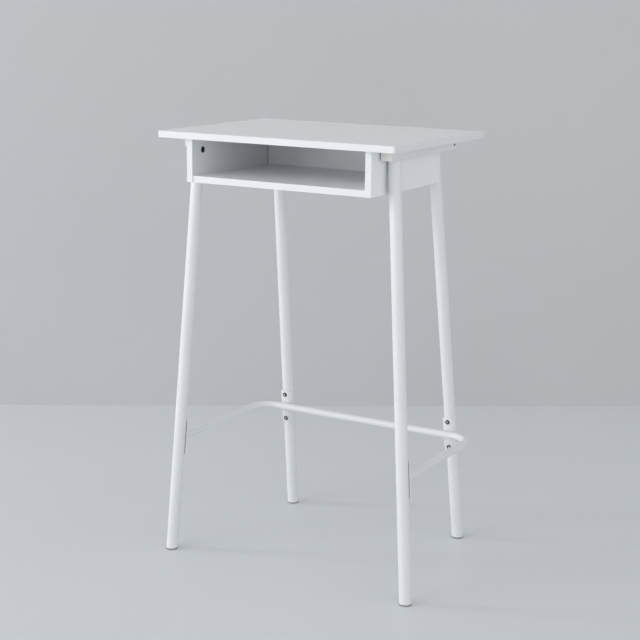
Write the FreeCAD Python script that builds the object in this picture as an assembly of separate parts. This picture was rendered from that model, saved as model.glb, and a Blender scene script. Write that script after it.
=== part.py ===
import FreeCAD, Part
import math
import os

# Standing desk: a white board top and an open compartment on a welded tube frame,
# with a bent tube footrest bolted to the four legs. Millimetres, +Z up. The origin is on
# the floor, under the centre of the space that the whole desk takes up. The user stands
# on the -Y side. Places along Y are measured back from the front edge of the top.

os.makedirs("parts", exist_ok=True)
Vector = FreeCAD.Vector
X = Vector(1, 0, 0)
Y = Vector(0, 1, 0)
Z = Vector(0, 0, 1)
SIDES = {"left": -1, "right": 1}

# ---- Driving dimensions -------------------------------------------------------------

top_width = 600.0
top_depth = 450.0
desk_height = 1020.0
board = 15.0              # thickness of every board
strip = 1.0               # thickness of the plastic edge strips
strip_round = 0.7         # rounding of a strip's outer edges
top_corner = 5.0          # rounding of the top's corners, seen from above

compartment_setback = 20.5
compartment_rear_setback = 98.5
compartment_side_setback = 65.0
compartment_clear_height = 83.5
floor_inset = 2.0         # how far the floor's front edge stands behind the side panels'
back_board_gap = 0.5      # clearance at each end of the back board

rail_width = 26.0         # box-section tube under the top
rail_height = 23.0
rail_wall = 1.2
rail_round = 2.0
rail_to_panel_gap = 3.0   # slit between a side rail and the compartment
rail_to_back_gap = 1.5    # slit between the cross rail and the compartment's back
rail_front = 56.5         # front end of the side rails, behind the top's front edge

leg_radius = 14.0
leg_wall = 1.2
front_leg_top_back = 94.0
front_leg_splay = 68.0    # how far the foot stands outside the leg's top
front_leg_rake = 28.0     # how far the foot stands in front of the leg's top
rear_leg_inset = 27.0     # from the end of the cross rail to the rear leg's top
rear_leg_splay = 30.5
rear_leg_rake = 141.5     # how far the foot stands behind the leg's top

foot_cap_height = 5.0
foot_cap_lip = 0.5        # how far a foot cap stands out around its leg
foot_cap_bevel = 1.0      # along the cap's lower edge
sole_height = 1.5         # a narrower sole lifts the cap's edge off the floor
sole_inset = 3.0
rail_cap_flange = 1.5

footrest_height = 282.5
footrest_radius = 8.75
footrest_wall = 1.2
footrest_bend = 50.0      # bend radius on the tube's centre line

saddle_thickness = 3.0
saddle_length = 88.0
saddle_inner_radius = 16.75
saddle_half_angle = 58.0  # degrees each way around the leg
saddle_corner = 12.0
bar_seat_depth = 0.5      # how deep the bar sits in the two rear saddles
bolt_spacing = 66.0

fit_gap = 0.05            # clearance all round a screw, bolt or dowel in its hole
hole_end_gap = 0.5        # how much deeper a blind hole is than what goes into it

# ---- Derived places -----------------------------------------------------------------

top_underside = desk_height - board
rail_underside = top_underside - rail_height
rail_middle = top_underside - rail_height / 2
panel_bottom = top_underside - compartment_clear_height - board
floor_surface = panel_bottom + board
panel_outer_x = top_width / 2 - compartment_side_setback
panel_inner_x = panel_outer_x - board
panel_back = top_depth - compartment_rear_setback
rail_centre_x = panel_outer_x + rail_to_panel_gap + rail_width / 2
cross_rail_end_x = rail_centre_x - rail_width / 2
cross_rail_back = panel_back + rail_to_back_gap + rail_width / 2
rail_back = cross_rail_back + rail_width / 2
rear_leg_top_x = cross_rail_end_x - rear_leg_inset
rear_foot_back = cross_rail_back + rear_leg_rake
foot_cap_radius = leg_radius + foot_cap_lip
rear_cap_back = rear_foot_back - rear_leg_rake / rail_underside * sole_height + foot_cap_radius
overall_depth = max(top_depth, rear_cap_back)
front_edge_y = -overall_depth / 2


def at(x, setback, z):
    """A point given by its distance behind the front edge of the top."""
    return Vector(x, front_edge_y + setback, z)


# ---- Plain shapes -------------------------------------------------------------------

def save(name, shape):
    shape.exportStep("parts/" + name + ".step")


def box(a, b):
    """A block between two opposite corners."""
    low = Vector(min(a.x, b.x), min(a.y, b.y), min(a.z, b.z))
    return Part.makeBox(abs(a.x - b.x), abs(a.y - b.y), abs(a.z - b.z), low)


def rod(start, direction, length, radius):
    return Part.makeCylinder(radius, length, start, direction)


def round_edges(shape, radius, wanted):
    """Round the edges whose middle point the test accepts."""
    edges = [e for e in shape.Edges if wanted(e.valueAt((e.FirstParameter + e.LastParameter) / 2))]
    return shape.makeFillet(radius, edges)


def near(a, b):
    return abs(a - b) < 0.01


def sharp_bar(axis, start, length, width, height):
    """A level bar of rectangular section, its end face centred on start."""
    half = Z.cross(axis) * (width / 2) + Z * (height / 2)
    return box(start - half, start + half + axis * length)


def rounded_bar(axis, start, length, width, height, corner):
    """The same bar with its long edges rounded."""
    bar_shape = sharp_bar(axis, start, length, width, height)
    return round_edges(bar_shape, corner, lambda p: near((p - start).dot(axis), length / 2))


def rail_tube(axis, start, length):
    outer = rounded_bar(axis, start, length, rail_width, rail_height, rail_round)
    inner = rounded_bar(axis, start, length, rail_width - 2 * rail_wall, rail_height - 2 * rail_wall,
                        rail_round - rail_wall)
    return outer.cut(inner)


def low_head(base, direction, radius, height, bevel):
    """A round screw or bolt head that stands on base, with a bevelled rim."""
    straight = height - bevel
    rim = Part.makeCone(radius, radius - bevel, bevel, base + direction * straight, direction)
    return rod(base, direction, straight, radius).fuse(rim)


def hexagon_socket(start, direction, across_flats, depth):
    """A six-sided recess, to be cut from a bolt head."""
    corner = across_flats / math.sqrt(3)
    points = [Vector(corner * math.cos(k * math.pi / 3), corner * math.sin(k * math.pi / 3), 0)
              for k in range(7)]
    prism = Part.Face(Part.makePolygon(points)).extrude(Vector(0, 0, depth))
    prism.Placement = FreeCAD.Placement(start, FreeCAD.Rotation(Z, direction))
    return prism


# ---- Cam joints between the boards --------------------------------------------------
# A zinc cam lies in a round bore in one board's face and pulls on the head of a bolt
# that is screwed into the other board. Dowels keep the boards in line.

cam_radius = 7.5
cam_bore_depth = 12.6
cam_recess = 0.4
cam_to_edge = 28.0
cam_bolt_hole_radius = 4.0
cam_bolt_radius = 3.0
cam_bolt_gap = 0.4
cam_thread_length = 10.0
cam_slot_length = 9.0
cam_slot_width = 1.6
cam_slot_depth = 1.8
dowel_radius = 4.0
dowel_in_edge = 20.0
dowel_in_face = 10.0


def cam_joint(centre, into, towards):
    """Cam, bolt, the cut for the board with the cam and the cut for the other board.
    centre is on the board's face, into points into the board, towards at the other board."""
    middle = centre + into * (board / 2)
    edge = middle + towards * cam_to_edge
    bore = rod(centre, into, cam_bore_depth, cam_radius)
    bore = bore.fuse(rod(middle, towards, cam_to_edge, cam_bolt_hole_radius))
    cam_face = centre + into * cam_recess
    cam = rod(cam_face, into, cam_bore_depth - cam_recess - fit_gap, cam_radius - fit_gap)
    cam = cam.cut(rod(middle, towards, 2 * cam_radius, cam_bolt_radius + cam_bolt_gap))
    across = towards.cross(into)
    for long_way, short_way in ((towards, across), (across, towards)):
        corner = cam_face - long_way * (cam_slot_length / 2) - short_way * (cam_slot_width / 2)
        outline = [corner, corner + long_way * cam_slot_length,
                   corner + long_way * cam_slot_length + short_way * cam_slot_width,
                   corner + short_way * cam_slot_width, corner]
        cam = cam.cut(Part.Face(Part.makePolygon(outline)).extrude(into * cam_slot_depth))
    bolt_length = cam_to_edge + cam_thread_length - fit_gap
    bolt = rod(middle + towards * fit_gap, towards, bolt_length, cam_bolt_radius)
    pilot = rod(edge, towards, cam_thread_length + hole_end_gap, cam_bolt_radius + fit_gap)
    return cam, bolt, bore, pilot


def dowel_joint(edge_point, into_face):
    """Dowel, the cut for the board whose edge it sits in and the cut for the other board."""
    start = edge_point - into_face * dowel_in_edge
    pin = rod(start, into_face, dowel_in_edge + dowel_in_face, dowel_radius)
    hole_start = start - into_face * hole_end_gap
    edge_hole = rod(hole_start, into_face, dowel_in_edge + hole_end_gap, dowel_radius + fit_gap)
    face_hole = rod(edge_point, into_face, dowel_in_face + hole_end_gap, dowel_radius + fit_gap)
    return pin, edge_hole, face_hole


front_cam_inset = 42.0
rear_cam_inset = 80.0
front_cam_back = compartment_setback + front_cam_inset
rear_cam_back = panel_back - rear_cam_inset
dowel_from_cam = 60.0
back_cam_inset = 85.0
back_dowel_inset = 127.0
cuts = {"top": [], "left": [], "right": [], "floor": [], "back": []}
side_panel_cams = []
floor_cams = []
back_cams = []
cam_bolts = []
dowels = []


def add_cam(group, cam_board, other_board, centre, into, towards):
    cam, bolt, bore, pilot = cam_joint(centre, into, towards)
    group.append(cam)
    cam_bolts.append(bolt)
    cuts[cam_board].append(bore)
    cuts[other_board].append(pilot)


def add_dowel(edge_board, face_board, edge_point, into_face):
    pin, edge_hole, face_hole = dowel_joint(edge_point, into_face)
    dowels.append(pin)
    cuts[edge_board].append(edge_hole)
    cuts[face_board].append(face_hole)


for name, side in SIDES.items():
    outward = X * side
    inset_x = side * (panel_inner_x - cam_to_edge)
    cam_z = top_underside - cam_to_edge
    add_cam(side_panel_cams, name, "top",
            at(side * panel_inner_x, front_cam_back, cam_z), outward, Z)
    for setback in (front_cam_back, rear_cam_back):
        add_cam(floor_cams, "floor", name, at(inset_x, setback, panel_bottom), Z, outward)
    add_cam(back_cams, "back", name, at(inset_x, panel_back, floor_surface + board), -Y, outward)
    add_cam(back_cams, "back", "top", at(side * (panel_inner_x - back_cam_inset), panel_back, cam_z), -Y, Z)
    for setback in (front_cam_back + dowel_from_cam, rear_cam_back - dowel_from_cam):
        add_dowel(name, "top", at(side * (panel_outer_x - board / 2), setback, top_underside), Z)
        add_dowel("floor", name, at(side * panel_inner_x, setback, panel_bottom + board / 2), outward)
    add_dowel("back", "floor",
              at(side * (panel_inner_x - back_dowel_inset), panel_back - board / 2, floor_surface), -Z)

# ---- Screws that hold the top to the frame ------------------------------------------
# Pan-head screws go up through both walls of a rail and into the top.

screw_radius = 2.0
screw_head_radius = 4.2
screw_head_height = 2.6
screw_head_bevel = 1.0
screw_into_top = 10.0
front_screw_inset = 105.0
rear_screw_inset = 34.0
cross_rail_screw_inset = 114.0
front_screw_back = rail_front + front_screw_inset
rear_screw_back = cross_rail_back - rear_screw_inset

screw_places = []
for side in SIDES.values():
    for setback in (front_screw_back, rear_screw_back):
        screw_places.append(at(side * rail_centre_x, setback, rail_underside))
    screw_x = side * (cross_rail_end_x - cross_rail_screw_inset)
    screw_places.append(at(screw_x, cross_rail_back, rail_underside))


def top_screw(place):
    head = low_head(place, -Z, screw_head_radius, screw_head_height, screw_head_bevel)
    return head.fuse(rod(place, Z, rail_height + screw_into_top, screw_radius)).removeSplitter()


screw_holes = [rod(place, Z, rail_height + screw_into_top + hole_end_gap, screw_radius + fit_gap)
               for place in screw_places]
save("top_screws", Part.makeCompound([top_screw(place) for place in screw_places]))

# ---- Boards and edge strips ---------------------------------------------------------

def slab(low, high, corner):
    """A board with its upright edges rounded."""
    return round_edges(box(low, high), corner, lambda p: near(p.z, (low.z + high.z) / 2))


top_low = at(-top_width / 2, 0, top_underside)
top_high = at(top_width / 2, top_depth, desk_height)
inset = Vector(strip, strip, 0)
core = slab(top_low + inset, top_high - inset, top_corner - strip)
save("top_board", core.cut(cuts["top"] + screw_holes))

# The strip round the top is in four lengths: front and rear go round the corners.
band = slab(top_low, top_high, top_corner)
band = round_edges(band, strip_round, lambda p: near(p.z, top_underside) or near(p.z, desk_height))
band = band.cut(core)
front_joint = top_low.y + top_corner
rear_joint = top_high.y - top_corner
save("top_front_strip", band.common(box(top_low, Vector(top_high.x, front_joint, top_high.z))))
save("top_rear_strip", band.common(box(Vector(top_low.x, rear_joint, top_low.z), top_high)))
for name, side in SIDES.items():
    edge_x = side * top_width / 2
    side_run = box(Vector(edge_x, front_joint, top_low.z),
                   Vector(edge_x - side * strip, rear_joint, top_high.z))
    save("top_" + name + "_strip", band.common(side_run))


for name, side in SIDES.items():
    inner_x = side * panel_inner_x
    outer_x = side * panel_outer_x
    panel_front = compartment_setback + strip
    panel = box(at(inner_x, panel_front, panel_bottom + strip), at(outer_x, panel_back, top_underside))
    save(name + "_side_panel", panel.cut(cuts[name]))
    save(name + "_panel_bottom_strip",
         box(at(inner_x, panel_front, panel_bottom), at(outer_x, panel_back, panel_bottom + strip)))
    front_corner = at(inner_x, compartment_setback, panel_bottom)
    front_strip = box(front_corner, at(outer_x, panel_front, top_underside))
    save(name + "_panel_front_strip", round_edges(
        front_strip, strip_round,
        lambda p: near(p.y, front_corner.y) and not near(p.z, top_underside)))

floor_front = compartment_setback + floor_inset
floor_board = box(at(-panel_inner_x, floor_front + strip, panel_bottom),
                  at(panel_inner_x, panel_back, floor_surface))
save("compartment_floor", floor_board.cut(cuts["floor"]))
floor_corner = at(-panel_inner_x, floor_front, panel_bottom)
floor_strip = box(floor_corner, at(panel_inner_x, floor_front + strip, floor_surface))
save("floor_front_strip", round_edges(
    floor_strip, strip_round, lambda p: near(p.y, floor_corner.y) and near(p.x, 0)))

back_half = panel_inner_x - back_board_gap
back_board = box(at(-back_half, panel_back - board, floor_surface),
                 at(back_half, panel_back, top_underside))
save("compartment_back", back_board.cut(cuts["back"]))

save("side_panel_cams", Part.makeCompound(side_panel_cams))
save("floor_board_cams", Part.makeCompound(floor_cams))
save("back_board_cams", Part.makeCompound(back_cams))
save("cam_bolts", Part.makeCompound(cam_bolts))
save("board_dowels", Part.makeCompound(dowels))

# ---- Rails, their end caps and the bolts that join them -----------------------------
# Each side rail is bolted to an end of the cross rail. The bolt's head is inside the
# side rail, and a small hole in the outer wall lets the hexagon key in.

key_hole_radius = 3.25
frame_bolt_radius = 3.0
frame_bolt_length = 18.0
frame_bolt_head_radius = 5.0
frame_bolt_head_height = 6.0
frame_bolt_key = 5.0
frame_bolt_socket_depth = 3.5
end_block_length = 12.0
cap_bevel = 0.6
cap_plug_length = 6.0
cap_plug_gap = 0.15
cap_plug_wall = 2.0


def rail_cap(end_point, outward):
    """A flange over the tube's end, bevelled in front, with a hollow plug behind it."""
    flange = rounded_bar(outward, end_point, rail_cap_flange, rail_width, rail_height, rail_round)
    front_y = (end_point + outward * rail_cap_flange).y
    front_edges = [edge for edge in flange.Edges if near(edge.CenterOfMass.y, front_y)]
    flange = flange.makeChamfer(cap_bevel, front_edges)
    plug_width = rail_width - 2 * rail_wall - 2 * cap_plug_gap
    plug_height = rail_height - 2 * rail_wall - 2 * cap_plug_gap
    plug = sharp_bar(-outward, end_point, cap_plug_length, plug_width, plug_height)
    hollow = sharp_bar(-outward, end_point, cap_plug_length,
                       plug_width - 2 * cap_plug_wall, plug_height - 2 * cap_plug_wall)
    return flange.fuse(plug.cut(hollow)).removeSplitter()


frame_bolts = []
end_blocks = []
for name, side in SIDES.items():
    outward = X * side
    front_end = at(side * rail_centre_x, rail_front, rail_middle)
    back_end = at(side * rail_centre_x, rail_back, rail_middle)
    tube = rail_tube(Y, front_end, rail_back - rail_front)
    joint = at(side * cross_rail_end_x, cross_rail_back, rail_middle)
    tube = tube.cut(rod(joint, outward, rail_width / 2, frame_bolt_radius + fit_gap))
    tube = tube.cut(rod(joint + outward * (rail_width / 2), outward, rail_width / 2, key_hole_radius))
    save(name + "_rail", tube.cut(screw_holes))
    save(name + "_rail_front_cap", rail_cap(front_end, -Y))
    save(name + "_rail_rear_cap", rail_cap(back_end, Y))

    head_base = joint + outward * rail_wall
    head = rod(head_base, outward, frame_bolt_head_height, frame_bolt_head_radius)
    head_top = head_base + outward * frame_bolt_head_height
    socket_floor = head_top - outward * frame_bolt_socket_depth
    head = head.cut(hexagon_socket(socket_floor, outward, frame_bolt_key, frame_bolt_head_height))
    shank = rod(head_base, -outward, frame_bolt_length, frame_bolt_radius)
    frame_bolts.append(head.fuse(shank).removeSplitter())
    block = rounded_bar(-outward, joint, end_block_length, rail_width - 2 * rail_wall - 2 * fit_gap,
                        rail_height - 2 * rail_wall - 2 * fit_gap, rail_round - rail_wall)
    end_blocks.append(block.cut(rod(joint, -outward, end_block_length, frame_bolt_radius + fit_gap)))

cross_rail = rail_tube(X, at(-cross_rail_end_x, cross_rail_back, rail_middle), 2 * cross_rail_end_x)
save("rear_cross_rail", cross_rail.cut(screw_holes))
save("cross_rail_bolts", Part.makeCompound(frame_bolts))
save("cross_rail_end_blocks", Part.makeCompound(end_blocks))

# ---- Footrest and its saddles -------------------------------------------------------
# The bar is a U in plan. Its front ends meet the saddles behind the front legs, and its
# back run is seated in the saddles in front of the rear legs.


class Leg:
    """A leg's axis, from the floor to the underside of its rail. facing is the way along
    Y that its saddle looks: 1 to the rear, -1 to the front."""

    def __init__(self, foot, top, facing):
        self.foot = foot
        self.top = top
        self.facing = facing
        self.up = top - foot
        self.up.normalize()

    def axis_point(self, z):
        return self.foot + (self.top - self.foot) * (z / rail_underside)

    def reach_along_y(self):
        """Distance along Y from the axis to the tube's surface, at one height."""
        return leg_radius * math.hypot(1, (self.top.y - self.foot.y) / rail_underside)

    def saddle_placement(self):
        """Local +Z runs up the leg and local +Y points from the leg out through the saddle."""
        origin = self.axis_point(footrest_height)
        out = Y * self.facing
        out = out - self.up * out.dot(self.up)
        out.normalize()
        across = out.cross(self.up)
        return FreeCAD.Placement(FreeCAD.Matrix(
            across.x, out.x, self.up.x, origin.x,
            across.y, out.y, self.up.y, origin.y,
            across.z, out.z, self.up.z, origin.z,
            0, 0, 0, 1))


LEGS = {}
for name, side in SIDES.items():
    LEGS[name + "_front"] = Leg(
        at(side * (rail_centre_x + front_leg_splay), front_leg_top_back - front_leg_rake, 0),
        at(side * rail_centre_x, front_leg_top_back, rail_underside), 1)
    LEGS[name + "_rear"] = Leg(
        at(side * (rear_leg_top_x + rear_leg_splay), rear_foot_back, 0),
        at(side * rear_leg_top_x, cross_rail_back, rail_underside), -1)

saddle_outer_radius = saddle_inner_radius + saddle_thickness
saddle_centre_y = leg_radius - saddle_inner_radius
saddle_face_y = leg_radius + saddle_thickness
bolt_heights = (-bolt_spacing / 2, bolt_spacing / 2)


saddle_hole_gap = 0.25


def saddle_blank():
    """A strip bent around the leg, with rounded corners and two bolt holes."""
    bottom = Vector(0, saddle_centre_y, -saddle_length / 2)
    shell = rod(bottom, Z, saddle_length, saddle_outer_radius)
    shell = shell.cut(rod(bottom, Z, saddle_length, saddle_inner_radius))
    angle = math.radians(saddle_half_angle)
    reach = 2 * saddle_outer_radius
    left_ray = bottom + Vector(-reach * math.sin(angle), reach * math.cos(angle), 0)
    right_ray = bottom + Vector(reach * math.sin(angle), reach * math.cos(angle), 0)
    ahead = bottom + Vector(0, reach, 0)
    wedge = Part.Face(Part.makePolygon([bottom, right_ray, ahead, left_ray, bottom]))
    shell = shell.common(wedge.extrude(Vector(0, 0, saddle_length)))
    half_width = saddle_outer_radius * math.sin(angle)
    plate = box(Vector(-half_width, -reach, -saddle_length / 2),
                Vector(half_width, reach, saddle_length / 2))
    plate = round_edges(plate, saddle_corner, lambda p: near(p.y, 0) and not near(p.x, 0))
    shell = shell.common(plate)
    for z in bolt_heights:
        shell = shell.cut(rod(Vector(0, 0, z), Y, reach, frame_bolt_radius + saddle_hole_gap))
    return shell


saddle_bolt_head_radius = 6.0
saddle_bolt_head_height = 2.4
saddle_bolt_head_bevel = 0.8
saddle_bolt_key = 4.0
saddle_bolt_socket_depth = 1.8
saddle_bolt_length = 16.0
rivet_nut_radius = 4.5
rivet_nut_length = 12.0


def saddle_bolt(z):
    base = Vector(0, saddle_face_y, z)
    head = low_head(base, Y, saddle_bolt_head_radius, saddle_bolt_head_height, saddle_bolt_head_bevel)
    socket_floor = base + Y * (saddle_bolt_head_height - saddle_bolt_socket_depth)
    head = head.cut(hexagon_socket(socket_floor, Y, saddle_bolt_key, saddle_bolt_head_height))
    shank = rod(base, -Y, saddle_bolt_length, frame_bolt_radius)
    return head.fuse(shank).removeSplitter()


def rivet_nut(z):
    """A threaded sleeve pressed into the leg's wall, its mouth following the tube."""
    mouth = Vector(0, leg_radius, z)
    sleeve = rod(mouth, -Y, rivet_nut_length, rivet_nut_radius)
    thread = rod(mouth, -Y, rivet_nut_length, frame_bolt_radius + fit_gap)
    leg_solid = rod(Vector(0, 0, z - rivet_nut_length), Z, 2 * rivet_nut_length, leg_radius)
    return sleeve.common(leg_solid).cut(thread).removeSplitter()


front_leg = LEGS["right_front"]
rear_leg = LEGS["right_rear"]
half_bar = front_leg.axis_point(footrest_height).x
bar_front_y = front_leg.axis_point(footrest_height).y + front_leg.reach_along_y() + saddle_thickness / 2
back_run_y = (rear_leg.axis_point(footrest_height).y - rear_leg.reach_along_y() - saddle_thickness
              - footrest_radius + bar_seat_depth)


def bar_path():
    corner_y = back_run_y - footrest_bend
    corner_x = half_bar - footrest_bend
    z = footrest_height
    diagonal = footrest_bend * math.sin(math.pi / 4)
    left_bend = Part.Arc(Vector(-half_bar, corner_y, z),
                         Vector(-corner_x - diagonal, corner_y + diagonal, z),
                         Vector(-corner_x, back_run_y, z)).toShape()
    right_bend = Part.Arc(Vector(corner_x, back_run_y, z),
                          Vector(corner_x + diagonal, corner_y + diagonal, z),
                          Vector(half_bar, corner_y, z)).toShape()
    return Part.Wire([
        Part.makeLine(Vector(-half_bar, bar_front_y, z), Vector(-half_bar, corner_y, z)),
        left_bend,
        Part.makeLine(Vector(-corner_x, back_run_y, z), Vector(corner_x, back_run_y, z)),
        right_bend,
        Part.makeLine(Vector(half_bar, corner_y, z), Vector(half_bar, bar_front_y, z)),
    ])


def bent_bar(radius):
    section = Part.Wire(Part.makeCircle(radius, Vector(-half_bar, bar_front_y, footrest_height), Y))
    return bar_path().makePipeShell([section], True, False)


bar_outer = bent_bar(footrest_radius)
bar = bar_outer.cut(bent_bar(footrest_radius - footrest_wall))

saddle_bolts = {"front": [], "rear": []}
rivet_nuts = []
leg_cuts = {}
for name, leg in LEGS.items():
    end = name.split("_")[1]
    placement = leg.saddle_placement()
    saddle = saddle_blank()
    saddle.Placement = placement
    if end == "front":
        curve = rod(Vector(0, saddle_centre_y, -saddle_length / 2), Z, saddle_length, saddle_outer_radius)
        curve.Placement = placement
        bar = bar.cut(curve)
    else:
        saddle = saddle.cut(bar_outer)
    save(name + "_saddle", saddle)
    leg_cuts[name] = []
    for z in bolt_heights:
        bolt = saddle_bolt(z)
        bolt.Placement = placement
        saddle_bolts[end].append(bolt)
        nut = rivet_nut(z)
        nut.Placement = placement
        rivet_nuts.append(nut)
        hole = rod(Vector(0, leg_radius / 2, z), Y, leg_radius, rivet_nut_radius + fit_gap)
        hole.Placement = placement
        leg_cuts[name].append(hole)

save("footrest_bar", bar)
save("front_saddle_bolts", Part.makeCompound(saddle_bolts["front"]))
save("rear_saddle_bolts", Part.makeCompound(saddle_bolts["rear"]))
save("leg_rivet_nuts", Part.makeCompound(rivet_nuts))

# ---- Legs and foot caps -------------------------------------------------------------
# Each leg is a round tube cut level at both ends: welded to the rail above, and closed
# below by a moulded cap with a level sole, a bevelled edge above it and a plug in the tube.

foot_plug_length = 18.0
foot_plug_gap = 0.1
overlap = 1.0             # how far a cut or a joined piece runs past the face it meets


def leg_rod(leg, radius, low_z, high_z):
    """A round bar on a leg's axis, cut level at two heights."""
    spare = 2 * leg_radius
    bar_shape = rod(leg.foot - leg.up * spare, leg.up, (leg.top - leg.foot).Length + 2 * spare, radius)
    reach = Vector(spare, spare, 0)
    low_corner = Vector(min(leg.foot.x, leg.top.x), min(leg.foot.y, leg.top.y), low_z) - reach
    high_corner = Vector(max(leg.foot.x, leg.top.x), max(leg.foot.y, leg.top.y), high_z) + reach
    return bar_shape.common(box(low_corner, high_corner))


for name, leg in LEGS.items():
    tube = leg_rod(leg, leg_radius, foot_cap_height, rail_underside)
    tube = tube.cut(leg_rod(leg, leg_radius - leg_wall, 0, rail_underside + overlap))
    save(name + "_leg", tube.cut(leg_cuts[name]))
    cap_base = leg.axis_point(sole_height)
    sole = rod(cap_base, -Z, sole_height, foot_cap_radius - sole_inset)
    bevel = Part.makeCone(foot_cap_radius - foot_cap_bevel, foot_cap_radius, foot_cap_bevel, cap_base, Z)
    flange = rod(cap_base + Z * foot_cap_bevel, Z, foot_cap_height - sole_height - foot_cap_bevel,
                 foot_cap_radius)
    plug_radius = leg_radius - leg_wall - foot_plug_gap
    plug = leg_rod(leg, plug_radius, foot_cap_height - overlap, foot_cap_height + foot_plug_length)
    save(name + "_foot_cap", flange.fuse([bevel, sole, plug]).removeSplitter())
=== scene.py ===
import math

import bmesh
import bpy
from mathutils import Matrix, Vector


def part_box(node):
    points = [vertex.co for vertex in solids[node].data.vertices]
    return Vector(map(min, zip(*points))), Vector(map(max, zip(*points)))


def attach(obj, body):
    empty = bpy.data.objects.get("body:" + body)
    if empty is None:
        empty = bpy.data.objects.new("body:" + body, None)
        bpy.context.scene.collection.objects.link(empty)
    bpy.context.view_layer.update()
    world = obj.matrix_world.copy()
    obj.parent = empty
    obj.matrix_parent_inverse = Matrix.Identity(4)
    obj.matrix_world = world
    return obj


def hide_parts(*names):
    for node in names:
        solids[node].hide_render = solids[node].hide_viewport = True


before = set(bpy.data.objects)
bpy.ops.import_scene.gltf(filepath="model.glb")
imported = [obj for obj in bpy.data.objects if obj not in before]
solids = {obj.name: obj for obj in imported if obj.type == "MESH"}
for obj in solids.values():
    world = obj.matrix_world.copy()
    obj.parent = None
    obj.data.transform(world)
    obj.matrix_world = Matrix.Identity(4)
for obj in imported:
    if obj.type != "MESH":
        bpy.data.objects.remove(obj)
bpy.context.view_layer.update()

# ---- Rails and legs -----------------------------------------------------------------
# Steel tubes: two side rails, a cross rail and four round legs welded under them. The
# whole frame is powder coated white after welding, which leaves a faint orange peel.

COAT_PALE = (0.80, 0.815, 0.835, 1)
COAT_DEEP = (0.78, 0.795, 0.815, 1)
DEEP_UP_TO = 0.35
PALE_FROM = 0.65
SAME_POINT = 0.000002
EDGE_ROWS = 2
FRAME_TUBES = ["left_rail", "right_rail", "rear_cross_rail", "left_front_leg",
               "right_front_leg", "left_rear_leg", "right_rear_leg"]


def new_finish(name):
    """A material with its shader, ready for the nodes that make up its grain."""
    material = bpy.data.materials.new(name)
    material.use_nodes = True
    return material, material.node_tree, material.node_tree.nodes["Principled BSDF"]


def speckle(tree, size, detail, stretch=(1, 1, 1)):
    """A noise pattern whose marks are about that size in metres, before the stretch."""
    place = tree.nodes.new("ShaderNodeTexCoord")
    scale = tree.nodes.new("ShaderNodeMapping")
    scale.inputs["Scale"].default_value = [way / size for way in stretch]
    noise = tree.nodes.new("ShaderNodeTexNoise")
    noise.inputs["Scale"].default_value = 1.0
    noise.inputs["Detail"].default_value = detail
    tree.links.new(place.outputs["Object"], scale.inputs["Vector"])
    tree.links.new(scale.outputs["Vector"], noise.inputs["Vector"])
    return noise.outputs["Fac"]


def tint(tree, shader, pattern, deep, pale):
    """A colour that drifts with the pattern between a deeper and a paler tone."""
    ramp = tree.nodes.new("ShaderNodeValToRGB")
    for stop, position, colour in zip(ramp.color_ramp.elements, (DEEP_UP_TO, PALE_FROM), (deep, pale)):
        stop.position = position
        stop.color = colour
    tree.links.new(pattern, ramp.inputs["Fac"])
    tree.links.new(ramp.outputs["Color"], shader.inputs["Base Color"])


def gloss(tree, shader, pattern, smooth, rough):
    """A surface that is smoother in some places than in others."""
    spread = tree.nodes.new("ShaderNodeMapRange")
    spread.inputs["To Min"].default_value = smooth
    spread.inputs["To Max"].default_value = rough
    tree.links.new(pattern, spread.inputs["Value"])
    tree.links.new(spread.outputs["Result"], shader.inputs["Roughness"])


def relief(tree, shader, pattern, height, under=None):
    """Raised marks of that height in metres. under is a coarser relief that carries them."""
    bump = tree.nodes.new("ShaderNodeBump")
    bump.inputs["Strength"].default_value = 1.0
    bump.inputs["Distance"].default_value = height
    tree.links.new(pattern, bump.inputs["Height"])
    if under is not None:
        tree.links.new(under, bump.inputs["Normal"])
    tree.links.new(bump.outputs["Normal"], shader.inputs["Normal"])
    return bump.outputs["Normal"]


def soften(piece, width, sharper_than):
    """Rounds off the edges of a piece that turn by more than that many degrees."""
    rounding = piece.modifiers.new("edge", "BEVEL")
    rounding.width = width
    rounding.segments = EDGE_ROWS
    rounding.limit_method = "ANGLE"
    rounding.angle_limit = math.radians(sharper_than)
    rounding.harden_normals = True


def dress(names, material, edge=0.0):
    """Gives solids their finish, and breaks their sharp edges by a small rounding."""
    for name in names:
        piece = solids[name]
        piece.material_slots[0].material = material
        if edge:
            join = piece.modifiers.new("join", "WELD")
            join.merge_threshold = SAME_POINT
            soften(piece, edge, sharper_than=40)


powder_coat, tree, shader = new_finish("powder_coat")
tint(tree, shader, speckle(tree, size=0.12, detail=3.0), deep=COAT_DEEP, pale=COAT_PALE)
gloss(tree, shader, speckle(tree, size=0.02, detail=4.0), smooth=0.30, rough=0.44)
orange_peel = relief(tree, shader, speckle(tree, size=0.0011, detail=1.0), height=0.00002)
relief(tree, shader, speckle(tree, size=0.009, detail=2.0), height=0.00005, under=orange_peel)
dress(FRAME_TUBES, powder_coat)

# ---- Welds under the rails ----------------------------------------------------------
# A fillet weld runs round each leg where it meets the underside of its rail. It was laid
# by hand in short overlapping ripples, then coated together with the tubes.

WELD_SIZE = 0.0021
WELD_SIDES = 8
RIPPLE_LENGTH = 0.0022
RIPPLE_SWELL = 0.10
TAPER_STEPS = 3
TAPER_TIP = 0.12
LEG_WELD_STEPS = 140
LEG_WELD_OUT = WELD_SIZE * 0.35
LEG_WELD_DROP = WELD_SIZE * 0.30
RAIL_MARGIN = 0.0006
RIM_DEPTH = 0.0001
LEGS = ("left_front", "right_front", "left_rear", "right_rear")
UP = Vector((0, 0, 1))
BACK = Vector((0, 1, 0))


def full_turn(steps):
    """The angles of that many equal steps round a circle."""
    return [2 * math.pi * k / steps for k in range(steps)]


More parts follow.
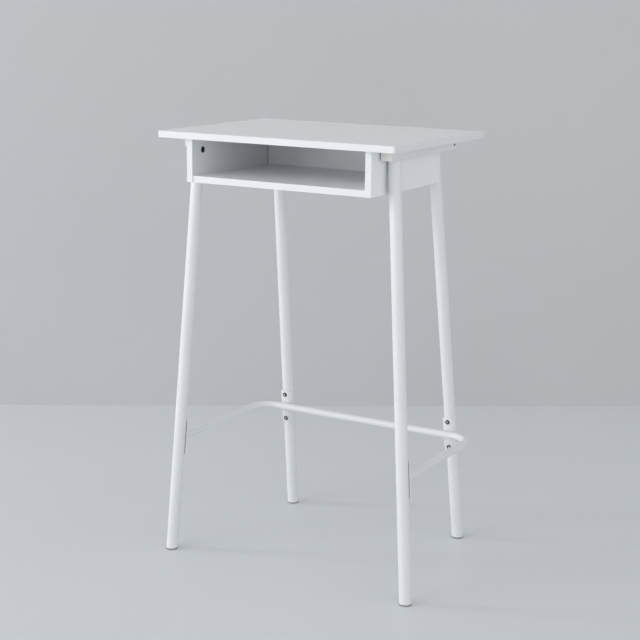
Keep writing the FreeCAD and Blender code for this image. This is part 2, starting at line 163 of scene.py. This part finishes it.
def end_ring(name, top):
    """Centre and half widths of a tube's own top or bottom edge."""
    points = [vertex.co for vertex in solids[name].data.vertices]
    level = max(p.z for p in points) if top else min(p.z for p in points)
    rim = [p for p in points if abs(p.z - level) < RIM_DEPTH]
    low = Vector((min(p.x for p in rim), min(p.y for p in rim), level))
    high = Vector((max(p.x for p in rim), max(p.y for p in rim), level))
    return (low + high) / 2, (high - low) / 2


def skin(mesh, here, there):
    """The faces between two rings of points."""
    count = len(here)
    return [mesh.faces.new((here[k], here[(k + 1) % count], there[(k + 1) % count], there[k]))
            for k in range(count)]


def piece_from(mesh, name, material):
    """Turns worked mesh into a piece that rides on the desk's one body."""
    data = bpy.data.meshes.new(name)
    for face in mesh.faces:
        face.smooth = True
    mesh.to_mesh(data)
    mesh.free()
    piece = bpy.data.objects.new(name, data)
    data.materials.append(material)
    bpy.context.scene.collection.objects.link(piece)
    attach(piece, "root")
    return piece


def weld(name, line, closed):
    """A rippled bead of filler metal along a level line of points. An open bead tapers
    over its first and last few steps."""
    mesh = bmesh.new()
    rows = []
    travelled = 0.0
    count = len(line)
    for i, point in enumerate(line):
        before = line[i - 1] if closed or i > 0 else point
        after = line[(i + 1) % count] if closed or i < count - 1 else point
        along = (after - before).normalized()
        across = along.cross(UP if abs(along.z) < 0.9 else BACK).normalized()
        over = across.cross(along)
        if i:
            travelled += (point - line[i - 1]).length
        size = WELD_SIZE * (1.0 + RIPPLE_SWELL * abs(math.sin(math.pi * travelled / RIPPLE_LENGTH)))
        if not closed:
            steps_from_end = min(i, count - 1 - i)
            size *= math.sqrt(min(1.0, steps_from_end / TAPER_STEPS + TAPER_TIP))
        rows.append([mesh.verts.new(point + (across * math.cos(turn) + over * math.sin(turn)) * size)
                     for turn in full_turn(WELD_SIDES)])
    for i in range(count if closed else count - 1):
        skin(mesh, rows[i], rows[(i + 1) % count])
    if not closed:
        mesh.faces.new(list(reversed(rows[0])))
        mesh.faces.new(rows[-1])
    bmesh.ops.recalc_face_normals(mesh, faces=mesh.faces)
    piece_from(mesh, name, powder_coat)


def keep_near(value, middle, half):
    return max(middle - half, min(middle + half, value))


for name in LEGS:
    centre, half = end_ring(name + "_leg", top=True)
    front = name.endswith("front")
    rail_low, rail_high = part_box(name.split("_")[0] + "_rail" if front else "rear_cross_rail")
    rail_middle = (rail_low + rail_high) / 2
    rail_half = (rail_high - rail_low) / 2
    line = []
    for turn in full_turn(LEG_WELD_STEPS):
        x = centre.x + (half.x + LEG_WELD_OUT) * math.cos(turn)
        y = centre.y + (half.y + LEG_WELD_OUT) * math.sin(turn)
        if front:
            x = keep_near(x, rail_middle.x, rail_half.x - RAIL_MARGIN)
        else:
            y = keep_near(y, rail_middle.y, rail_half.y - RAIL_MARGIN)
        line.append(Vector((x, y, centre.z - LEG_WELD_DROP)))
    weld(name + "_leg_weld", line, closed=True)

# ---- Rail end caps ------------------------------------------------------------------
# Cream plastic caps close the open ends of the side rails. They are moulded, and
# pressed in until the flange sits on the cut end of the tube.

CREAM_PALE = (0.81, 0.83, 0.785, 1)
CREAM_DEEP = (0.76, 0.78, 0.735, 1)
RAIL_CAP_EDGE = 0.0004

cream_plastic, tree, shader = new_finish("cream_plastic")
tint(tree, shader, speckle(tree, size=0.015, detail=3.0), deep=CREAM_DEEP, pale=CREAM_PALE)
gloss(tree, shader, speckle(tree, size=0.004, detail=3.0), smooth=0.42, rough=0.56)
relief(tree, shader, speckle(tree, size=0.0006, detail=2.0), height=0.00002)
dress(["left_rail_front_cap", "right_rail_front_cap", "left_rail_rear_cap", "right_rail_rear_cap"],
      cream_plastic, edge=RAIL_CAP_EDGE)

# ---- Cross rail bolts ---------------------------------------------------------------
# Two zinc-plated socket bolts join the side rails to threaded steel blocks that are
# fixed inside the ends of the cross rail. Only a key hole shows them.

ZINC_PALE = (0.64, 0.64, 0.63, 1)
ZINC_DEEP = (0.50, 0.51, 0.52, 1)
TURNED_EDGE = 0.0003

plated_steel, tree, shader = new_finish("plated_steel")
shader.inputs["Metallic"].default_value = 1.0
tint(tree, shader, speckle(tree, size=0.006, detail=4.0), deep=ZINC_DEEP, pale=ZINC_PALE)
gloss(tree, shader, speckle(tree, size=0.003, detail=4.0), smooth=0.28, rough=0.42)
relief(tree, shader, speckle(tree, size=0.0005, detail=2.0, stretch=(1, 1, 6)), height=0.00002)
dress(["cross_rail_bolts", "cross_rail_end_blocks"], plated_steel, edge=TURNED_EDGE)

# ---- Footrest and saddles -----------------------------------------------------------
# The bar is one steel tube bent to a U. Four curved plates are welded to it, two at its
# ends and two along its back run, and they are bolted to the legs.

SADDLE_EDGE = 0.0003
SADDLE_THICKNESS = 0.003
SADDLE_INNER_RADIUS = 0.01675
SADDLE_OUTER_RADIUS = 0.01975
LEG_RADIUS = 0.0140
BAR_WELD_RADIUS = 0.00875 + 0.0006
END_WELD_STEPS = 96
END_WELD_OUT = 0.0004
SIDE_WELD_STEPS = 40
SIDE_WELD_HALF = 0.0095
SIDE_WELD_HEIGHT = 0.0044
SIDE_WELD_SUNK = 0.0001

dress(["footrest_bar"], powder_coat)
dress(["left_front_saddle", "right_front_saddle", "left_rear_saddle", "right_rear_saddle"],
      powder_coat, edge=SADDLE_EDGE)

bar_low, bar_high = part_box("footrest_bar")
bar_level = (bar_low.z + bar_high.z) / 2


class LegLine:
    """The middle line of a leg, with the frame in which its saddle and bolts are set."""

    def __init__(self, name):
        bottom, _ = end_ring(name + "_leg", top=False)
        top, _ = end_ring(name + "_leg", top=True)
        self.up = (top - bottom).normalized()
        self.middle = bottom + (top - bottom) * ((bar_level - bottom.z) / (top.z - bottom.z))
        out = BACK if name.endswith("front") else -BACK
        self.out = (out - self.up * out.dot(self.up)).normalized()
        self.across = self.out.cross(self.up)

    def saddle_face(self, x, z, facing):
        """Where a line along Y meets the outside of the saddle, which is part of a cylinder
        about an axis that runs along the leg. facing is 1 for its back and -1 for its front."""
        axis = self.middle - self.out * (SADDLE_INNER_RADIUS - LEG_RADIUS)
        start = Vector((x, self.middle.y, z)) - axis
        start = start - self.up * start.dot(self.up)
        run = BACK - self.up * BACK.dot(self.up)
        a = run.dot(run)
        b = 2 * start.dot(run)
        c = start.dot(start) - SADDLE_OUTER_RADIUS ** 2
        return self.middle.y + (-b + facing * math.sqrt(b * b - 4 * a * c)) / (2 * a)


legs = {name: LegLine(name) for name in LEGS}

for side in ("left", "right"):
    leg = legs[side + "_front"]
    line = []
    for turn in full_turn(END_WELD_STEPS):
        x = leg.middle.x + BAR_WELD_RADIUS * math.cos(turn)
        z = bar_level + BAR_WELD_RADIUS * math.sin(turn)
        line.append(Vector((x, leg.saddle_face(x, z, 1) + END_WELD_OUT, z)))
    weld(side + "_bar_end_weld", line, closed=True)
    leg = legs[side + "_rear"]
    for name, way in (("upper", 1), ("lower", -1)):
        line = []
        for k in range(SIDE_WELD_STEPS + 1):
            x = leg.middle.x + SIDE_WELD_HALF * (2 * k / SIDE_WELD_STEPS - 1)
            z = bar_level + way * SIDE_WELD_HEIGHT
            line.append(Vector((x, leg.saddle_face(x, z, -1) - SIDE_WELD_SUNK, z)))
        weld(side + "_bar_" + name + "_weld", line, closed=False)

# ---- Saddle bolts -------------------------------------------------------------------
# Button-head bolts, plated in black nickel, hold each saddle to its leg. The bed of each
# hexagon socket is coloured near white: a painted highlight standing in for a glint. They
# turn into threaded sleeves pressed into the leg's wall.

NICKEL_PALE = (0.13, 0.127, 0.12, 1)
NICKEL_DEEP = (0.07, 0.07, 0.07, 1)
PAINTED_GLINT_COLOUR = (0.93, 0.92, 0.90, 1)
HEAD_PROFILE = [(0.0060, 0.0), (0.0060, 0.0004), (0.0057, 0.0009), (0.0050, 0.0015),
                (0.0042, 0.0020), (0.0035, 0.0023), (0.0029, 0.0024)]
SHANK_RADIUS = 0.003
SHANK_LENGTH = 0.016
SHANK_POINT = 0.6
SHANK_TAPER_FROM = 0.94
KEY_CORNER_RADIUS = 0.0023
KEY_DEPTH = 0.0018
RECESS_TAPER = 0.9
BOLT_SPACING = 0.066
BOLT_TURNS = ((1, 0.3), (-1, -1.1))
BOLT_EDGE = 0.0001

nickel, tree, shader = new_finish("nickel")
shader.inputs["Metallic"].default_value = 1.0
tint(tree, shader, speckle(tree, size=0.004, detail=4.0), deep=NICKEL_DEEP, pale=NICKEL_PALE)
gloss(tree, shader, speckle(tree, size=0.002, detail=3.0), smooth=0.12, rough=0.24)
relief(tree, shader, speckle(tree, size=0.0004, detail=2.0, stretch=(1, 1, 5)), height=0.00001)
# Painted highlight: where the mesh marks a socket's bed, the colour turns near white, standing in for a
# glint.
glint_marks = tree.nodes.new("ShaderNodeAttribute")
glint_marks.attribute_name = "painted_glint"
glint_mix = tree.nodes.new("ShaderNodeMix")
glint_mix.data_type = "RGBA"
glint_mix.inputs["B"].default_value = PAINTED_GLINT_COLOUR
tree.links.new(glint_marks.outputs["Fac"], glint_mix.inputs["Factor"])
tree.links.new(shader.inputs["Base Color"].links[0].from_socket, glint_mix.inputs["A"])
tree.links.new(glint_mix.outputs["Result"], shader.inputs["Base Color"])


def turned_head(mesh, place, profile, shank_radius, shank_length, recess, recess_depth, segments=48):
    """A lathe-turned head and shank, with a recess pressed into the head. place is a matrix
    whose +Z points out of the head. profile runs from the rim under the head to its top.
    The bed of the recess is marked for a painted highlight."""
    painted_glint = mesh.verts.layers.float.get("painted_glint") or mesh.verts.layers.float.new("painted_glint")
    shank = [(shank_radius * SHANK_POINT, -shank_length),
             (shank_radius, -shank_length * SHANK_TAPER_FROM), (shank_radius, 0.0)]
    rows = [[mesh.verts.new(place @ Vector((radius * math.cos(turn), radius * math.sin(turn), height)))
             for turn in full_turn(segments)] for radius, height in shank + profile]
    made = [mesh.faces.new(list(reversed(rows[0])))]
    for here, there in zip(rows, rows[1:]):
        made += skin(mesh, here, there)
    top = profile[-1][1]
    lip = [mesh.verts.new(place @ Vector((x, y, top))) for x, y in recess]
    bed = [mesh.verts.new(place @ Vector((x * RECESS_TAPER, y * RECESS_TAPER, top - recess_depth)))
           for x, y in recess]
    # Marks the bed for the painted highlight.
    for vertex in bed:
        vertex[painted_glint] = 1.0
    count = len(recess)
    edges = [mesh.edges.new((lip[k], lip[(k + 1) % count])) for k in range(count)]
    edges += [mesh.edges.get((rows[-1][k], rows[-1][(k + 1) % segments])) for k in range(segments)]
    filled = bmesh.ops.triangle_fill(mesh, edges=edges, use_beauty=True)
    made += [item for item in filled["geom"] if isinstance(item, bmesh.types.BMFace)]
    made += skin(mesh, lip, bed)
    made.append(mesh.faces.new(bed))
    bmesh.ops.recalc_face_normals(mesh, faces=made)


hexagon = [(KEY_CORNER_RADIUS * math.cos(turn), KEY_CORNER_RADIUS * math.sin(turn))
           for turn in full_turn(6)]
for end in ("front", "rear"):
    mesh = bmesh.new()
    for side in ("left", "right"):
        leg = legs[side + "_" + end]
        leg_frame = Matrix((leg.across, leg.up, leg.out)).transposed().to_4x4()
        for way, turn in BOLT_TURNS:
            seat = leg.middle + leg.out * (LEG_RADIUS + SADDLE_THICKNESS) + leg.up * (way * BOLT_SPACING / 2)
            place = Matrix.Translation(seat) @ leg_frame @ Matrix.Rotation(turn, 4, "Z")
            turned_head(mesh, place, HEAD_PROFILE, SHANK_RADIUS, SHANK_LENGTH, hexagon, KEY_DEPTH)
    bolts = piece_from(mesh, end + "_button_bolts", nickel)
    soften(bolts, BOLT_EDGE, sharper_than=30)
    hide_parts(end + "_saddle_bolts")

dress(["leg_rivet_nuts"], plated_steel)

# ---- Foot caps ----------------------------------------------------------------------
# Off-white plastic feet close the lower ends of the legs. Their soles are level, so each
# leg leans out of its foot. The lowest few millimetres of each cap are coloured near black:
# painted shade for the shadow under the cap's lip, where it meets the floor.

FOOT_PALE = (0.79, 0.80, 0.80, 1)
FOOT_DEEP = (0.72, 0.73, 0.73, 1)
SOLE_SHADE_COLOUR = (0.05, 0.052, 0.055, 1)
SOLE_SHADE_HEIGHT = 0.0027
FOOT_CAP_EDGE = 0.0005


def two_tone(tree, shader, axis, test, limit, colour):
    """Gives a finish a second colour where the distance along that axis passes the limit."""
    place = tree.nodes.new("ShaderNodeTexCoord")
    split = tree.nodes.new("ShaderNodeSeparateXYZ")
    distance = tree.nodes.new("ShaderNodeMath")
    distance.operation = "ABSOLUTE"
    past = tree.nodes.new("ShaderNodeMath")
    past.operation = test
    past.inputs[1].default_value = limit
    either = tree.nodes.new("ShaderNodeMix")
    either.data_type = "RGBA"
    either.inputs["B"].default_value = colour
    first = shader.inputs["Base Color"].links[0].from_socket
    tree.links.new(place.outputs["Object"], split.inputs["Vector"])
    tree.links.new(split.outputs[axis], distance.inputs[0])
    tree.links.new(distance.outputs["Value"], past.inputs[0])
    tree.links.new(past.outputs["Value"], either.inputs["Factor"])
    tree.links.new(first, either.inputs["A"])
    tree.links.new(either.outputs["Result"], shader.inputs["Base Color"])


foot_plastic, tree, shader = new_finish("foot_plastic")
tint(tree, shader, speckle(tree, size=0.012, detail=3.0), deep=FOOT_DEEP, pale=FOOT_PALE)
# Painted shade: the lowest few millimetres of each cap turn near black, for the shadow under its lip.
two_tone(tree, shader, "Z", "LESS_THAN", SOLE_SHADE_HEIGHT, SOLE_SHADE_COLOUR)
gloss(tree, shader, speckle(tree, size=0.004, detail=3.0), smooth=0.40, rough=0.55)
relief(tree, shader, speckle(tree, size=0.0006, detail=2.0), height=0.00002)
dress(["left_front_foot_cap", "right_front_foot_cap", "left_rear_foot_cap", "right_rear_foot_cap"],
      foot_plastic, edge=FOOT_CAP_EDGE)

# ---- Boards -------------------------------------------------------------------------
# Chipboard, 15 mm thick, faced on both sides with white melamine that has a fine pearl
# texture and a low satin gloss. The back board's ends have no strip. Near each end, just
# clear of the side panels, its face is coloured near black: painted shade for the seams there.

MELAMINE_PALE = (0.895, 0.91, 0.93, 1)
MELAMINE_DEEP = (0.88, 0.895, 0.915, 1)
SEAM_SHADE_COLOUR = (0.075, 0.070, 0.065, 1)
SEAM_SHADE_WIDTH = 0.0013
BOARD_EDGE = 0.00015


def melamine_finish(name, seam_shade_from=None):
    """White melamine. Given a distance, past it to the left and right the board is coloured near black:
    painted shade for a seam.
    """
    material, tree, shader = new_finish(name)
    tint(tree, shader, speckle(tree, size=0.18, detail=3.0), deep=MELAMINE_DEEP, pale=MELAMINE_PALE)
    if seam_shade_from is not None:
        two_tone(tree, shader, "X", "GREATER_THAN", seam_shade_from, SEAM_SHADE_COLOUR)
    gloss(tree, shader, speckle(tree, size=0.03, detail=4.0), smooth=0.36, rough=0.46)
    pearl = relief(tree, shader, speckle(tree, size=0.0007, detail=1.5), height=0.00002)
    relief(tree, shader, speckle(tree, size=0.004, detail=2.0), height=0.00003, under=pearl)
    return material


dress(["left_side_panel", "right_side_panel", "compartment_floor", "top_board"],
      melamine_finish("melamine"), edge=BOARD_EDGE)
# Painted shade: the back board's last 1.3 mm at each end is coloured near black, for the shadow in the seam
# beside each side panel.
_, back_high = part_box("compartment_back")
dress(["compartment_back"],
      melamine_finish("melamine_seam_shade", seam_shade_from=back_high.x - SEAM_SHADE_WIDTH), edge=BOARD_EDGE)

# ---- Edge strips --------------------------------------------------------------------
# White plastic strips, 1 mm thick, are glued to the boards' visible edges. They come
# off a roll, so fine drawing lines run along their length.

STRIP_PALE = (0.805, 0.82, 0.84, 1)
STRIP_DEEP = (0.79, 0.805, 0.825, 1)
DRAWN_OUT = 0.02


def strip_finish(name, stretch):
    """Edge strip plastic whose drawing lines are stretched out along the strip."""
    material, tree, shader = new_finish(name)
    tint(tree, shader, speckle(tree, size=0.10, detail=2.0), deep=STRIP_DEEP, pale=STRIP_PALE)
    gloss(tree, shader, speckle(tree, size=0.003, detail=3.0, stretch=stretch), smooth=0.28, rough=0.40)
    relief(tree, shader, speckle(tree, size=0.0012, detail=2.0, stretch=stretch), height=0.00002)
    return material


dress(["top_front_strip", "top_rear_strip", "floor_front_strip"],
      strip_finish("strip_crosswise", (DRAWN_OUT, 1, 1)), edge=BOARD_EDGE)
dress(["top_left_strip", "top_right_strip", "left_panel_bottom_strip", "right_panel_bottom_strip"],
      strip_finish("strip_lengthwise", (1, DRAWN_OUT, 1)), edge=BOARD_EDGE)
dress(["left_panel_front_strip", "right_panel_front_strip"],
      strip_finish("strip_upright", (1, 1, DRAWN_OUT)), edge=BOARD_EDGE)

# ---- Dowels and cam fittings --------------------------------------------------------
# Beech dowels line the boards up. Dark zinc cams, turned with a screwdriver in their
# cross slots, draw the heads of steel bolts into the board.

BEECH_PALE = (0.66, 0.49, 0.32, 1)
BEECH_DEEP = (0.46, 0.31, 0.18, 1)
DOWEL_EDGE = 0.0004
CAST_PALE = (0.028, 0.036, 0.042, 1)
CAST_DEEP = (0.012, 0.018, 0.022, 1)
CAM_EDGE = 0.0002

beech, tree, shader = new_finish("beech")
tint(tree, shader, speckle(tree, size=0.0015, detail=5.0, stretch=(1, 1, 0.08)),
     deep=BEECH_DEEP, pale=BEECH_PALE)
gloss(tree, shader, speckle(tree, size=0.002, detail=3.0), smooth=0.55, rough=0.70)
relief(tree, shader, speckle(tree, size=0.0006, detail=3.0, stretch=(1, 1, 0.1)), height=0.00004)
dress(["board_dowels"], beech, edge=DOWEL_EDGE)
dress(["cam_bolts"], plated_steel, edge=TURNED_EDGE)

dark_zinc, tree, shader = new_finish("dark_zinc")
shader.inputs["Metallic"].default_value = 0.7
tint(tree, shader, speckle(tree, size=0.003, detail=4.0), deep=CAST_DEEP, pale=CAST_PALE)
gloss(tree, shader, speckle(tree, size=0.002, detail=3.0), smooth=0.42, rough=0.60)
relief(tree, shader, speckle(tree, size=0.0005, detail=3.0), height=0.00004)
dress(["side_panel_cams", "floor_board_cams", "back_board_cams"], dark_zinc, edge=CAM_EDGE)

# ---- Screws under the rails ---------------------------------------------------------
# Six pan-head steel screws go up through the rails into the underside of the top. Each
# head has a cross recess for the screwdriver.

PAN_HEIGHT = 0.0026
PAN_PROFILE = [(0.0042, 0.0), (0.0042, 0.0012), (0.0039, 0.0018), (0.0034, 0.0023),
               (0.0027, PAN_HEIGHT)]
SCREW_RADIUS = 0.002
CROSS_REACH = 0.0022
CROSS_HALF = 0.00048
CROSS_DEPTH = 0.0014
NEXT_SCREW_TURN = 0.7
SCREW_EDGE = 0.00008


def loose_parts(name):
    """The low and high corner of each separate lump in a solid."""
    mesh = bmesh.new()
    mesh.from_mesh(solids[name].data)
    bmesh.ops.remove_doubles(mesh, verts=mesh.verts, dist=SAME_POINT)
    left = set(mesh.verts)
    boxes = []
    while left:
        lump = set()
        newest = {left.pop()}
        while newest:
            lump |= newest
            newest = {edge.other_vert(vertex) for vertex in newest for edge in vertex.link_edges} - lump
        left -= lump
        boxes.append([Vector(furthest(vertex.co[k] for vertex in lump) for k in range(3))
                      for furthest in (min, max)])
    mesh.free()
    return sorted(boxes, key=lambda box: box[0][:])


cross = []
arm = [(CROSS_REACH, -CROSS_HALF), (CROSS_REACH, CROSS_HALF), (CROSS_HALF, CROSS_HALF)]
for quarter in range(4):
    cross += arm
    arm = [(-y, x) for x, y in arm]

mesh = bmesh.new()
for i, (low, high) in enumerate(loose_parts("top_screws")):
    seat = Vector(((low.x + high.x) / 2, (low.y + high.y) / 2, low.z + PAN_HEIGHT))
    place = (Matrix.Translation(seat) @ Matrix.Rotation(math.pi, 4, "X")
             @ Matrix.Rotation(NEXT_SCREW_TURN * i, 4, "Z"))
    turned_head(mesh, place, PAN_PROFILE, SCREW_RADIUS, high.z - seat.z, cross, CROSS_DEPTH, segments=32)
screws = piece_from(mesh, "pan_head_screws", plated_steel)
soften(screws, SCREW_EDGE, sharper_than=30)
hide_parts("top_screws")

# ---- Floor and wall -----------------------------------------------------------------
# A plain pale floor and a plain light grey wall behind the desk. From behind, the wall
# is open, so that the desk can be seen from all sides.

FLOOR_COLOUR = (0.75, 0.777, 0.798, 1)
FLOOR_DRIFT = 0.98
WALL_COLOUR = (0.59, 0.60, 0.62, 1)
WALL_DRIFT = 0.97
WALL_TURN = math.radians(32.32)
WALL_DISTANCE = 1.278
WALL_HEIGHT = 4.5
ROOM_HALF = 7.0


def deeper(colour, share):
    return tuple(channel * share for channel in colour[:3]) + (1,)


def flat_panel(name, corners, material):
    data = bpy.data.meshes.new(name)
    data.from_pydata(corners, [], [(0, 1, 2, 3)])
    data.materials.append(material)
    panel = bpy.data.objects.new(name, data)
    bpy.context.scene.collection.objects.link(panel)


floor_paint, tree, shader = new_finish("floor_paint")
tint(tree, shader, speckle(tree, size=0.9, detail=2.0),
     deep=deeper(FLOOR_COLOUR, FLOOR_DRIFT), pale=FLOOR_COLOUR)
gloss(tree, shader, speckle(tree, size=0.2, detail=3.0), smooth=0.34, rough=0.44)
shader.inputs["Specular IOR Level"].default_value = 0.30
away = Vector((-math.sin(WALL_TURN), math.cos(WALL_TURN), 0))
along_wall = Vector((math.cos(WALL_TURN), math.sin(WALL_TURN), 0))
flat_panel("floor", [along_wall * (a * ROOM_HALF) + away * (b * ROOM_HALF)
                     for a, b in ((-1, -1), (1, -1), (1, 1), (-1, 1))], floor_paint)

wall_paint, tree, shader = new_finish("wall_paint")
tint(tree, shader, speckle(tree, size=1.2, detail=2.0),
     deep=deeper(WALL_COLOUR, WALL_DRIFT), pale=WALL_COLOUR)
shader.inputs["Roughness"].default_value = 0.9
seen_from = tree.nodes.new("ShaderNodeNewGeometry")
open_side = tree.nodes.new("ShaderNodeBsdfTransparent")
either = tree.nodes.new("ShaderNodeMixShader")
tree.links.new(seen_from.outputs["Backfacing"], either.inputs["Fac"])
tree.links.new(shader.outputs["BSDF"], either.inputs[1])
tree.links.new(open_side.outputs["BSDF"], either.inputs[2])
tree.links.new(either.outputs["Shader"], tree.nodes["Material Output"].inputs["Surface"])
wall_left = away * WALL_DISTANCE - along_wall * ROOM_HALF
wall_right = away * WALL_DISTANCE + along_wall * ROOM_HALF
flat_panel("wall", [wall_left, wall_right, wall_right + UP * WALL_HEIGHT, wall_left + UP * WALL_HEIGHT],
           wall_paint)

# ---- Light --------------------------------------------------------------------------
# Soft daylight: a pale sky all round, two windows on the left, and white screens in front
# and on the right that send some of it back.

SKY_COLOUR = (1.0, 1.0, 1.0, 1)
SKY_STRENGTH = 0.61

sky = bpy.data.worlds.new("sky")
sky.use_nodes = True
sky_light = sky.node_tree.nodes["Background"]
sky_light.inputs["Color"].default_value = SKY_COLOUR
sky_light.inputs["Strength"].default_value = SKY_STRENGTH
bpy.context.scene.world = sky


def soft_lamp(name, place, aim, width, height, power):
    data = bpy.data.lights.new(name, "AREA")
    data.shape = "RECTANGLE"
    data.size = width
    data.size_y = height
    data.energy = power
    lamp = bpy.data.objects.new(name, data)
    lamp.location = place
    lamp.rotation_euler = (Vector(aim) - Vector(place)).to_track_quat("-Z", "Y").to_euler()
    lamp.visible_camera = False
    bpy.context.scene.collection.objects.link(lamp)


soft_lamp("left_window", place=(-3.9, -6.3, 2.3), aim=(0, 0, 0.8), width=4.5, height=4.5, power=138.0)
soft_lamp("side_window", place=(-6.3, -2.1, 1.75), aim=(0, 0, 0.7), width=2.4, height=2.4, power=236.0)
soft_lamp("front_screen", place=(0.0, -7.5, 2.0), aim=(0, 0, 0.8), width=9.0, height=4.5, power=63.0)
soft_lamp("right_screen", place=(7.5, -1.5, 2.0), aim=(0, 0, 0.8), width=7.5, height=4.5, power=83.0)

# ---- Camera -------------------------------------------------------------------------
# A standing person's view from the right front, a little above the top of the desk.
# It is held very slightly askew.

CAMERA_PLACE = (1.64704, -2.88541, 1.30438)
FACING = math.radians(30.062)
LOOKING_DOWN = math.radians(12.423)
CAMERA_ROLL = math.radians(0.771)
FOCAL_PIXELS = 1439.55
FRAME_PIXELS = 640
SENSOR_WIDTH = 36.0

lens = bpy.data.cameras.new("camera")
lens.sensor_width = SENSOR_WIDTH
lens.lens = FOCAL_PIXELS / FRAME_PIXELS * SENSOR_WIDTH
camera = bpy.data.objects.new("camera", lens)
camera.location = CAMERA_PLACE
camera.rotation_euler = (Matrix.Rotation(FACING, 3, "Z")
                         @ Matrix.Rotation(math.pi / 2 - LOOKING_DOWN, 3, "X")
                         @ Matrix.Rotation(CAMERA_ROLL, 3, "Z")).to_euler()
bpy.context.scene.collection.objects.link(camera)
bpy.context.scene.camera = camera
bpy.context.scene.view_settings.view_transform = "Standard"
